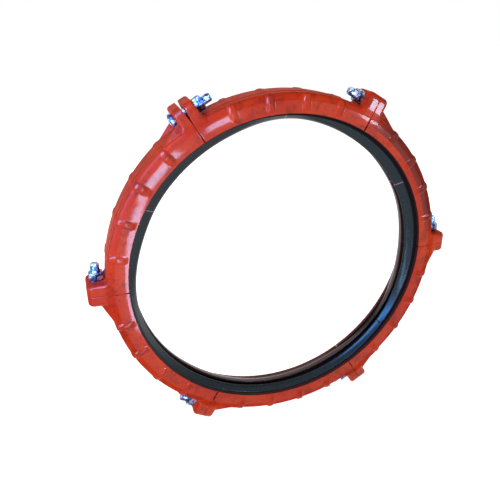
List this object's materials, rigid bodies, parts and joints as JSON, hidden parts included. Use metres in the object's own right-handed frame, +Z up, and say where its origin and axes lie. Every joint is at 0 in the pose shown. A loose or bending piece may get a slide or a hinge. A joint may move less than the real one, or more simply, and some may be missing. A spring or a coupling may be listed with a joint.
{
  "type": "grooved pipe coupling",
  "caption": "Large segmented clamp coupling: ribbed channel castings bolted into a ring round a rubber gasket, for grooved pipe.",
  "frame": {"origin": "centre of the coupling, on the pipe's axis and in the middle of its width", "axes": "+Y along the pipe's axis, +Z up as the coupling stands on its rim, +X through the joint whose bolt stands upright"},
  "size_m": [0.7444, 0.0772, 0.6782],
  "materials": {
    "red_enamel": "gloss",
    "gasket_rubber": "satin",
    "zinc_plate": "satin"
  },
  "bodies": {
    "root": {"housing_segment_1": "red_enamel", "housing_segment_2": "red_enamel", "housing_segment_3": "red_enamel", "housing_segment_4": "red_enamel", "housing_segment_5": "red_enamel", "housing_segment_6": "red_enamel", "gasket": "gasket_rubber", "track_bolt_1": "zinc_plate", "track_bolt_2": "zinc_plate", "track_bolt_3": "zinc_plate", "track_bolt_4": "zinc_plate", "track_bolt_5": "zinc_plate", "track_bolt_6": "zinc_plate", "nut_1": "zinc_plate", "nut_2": "zinc_plate", "nut_3": "zinc_plate", "nut_4": "zinc_plate", "nut_5": "zinc_plate", "nut_6": "zinc_plate"}
  },
  "joints": []
}
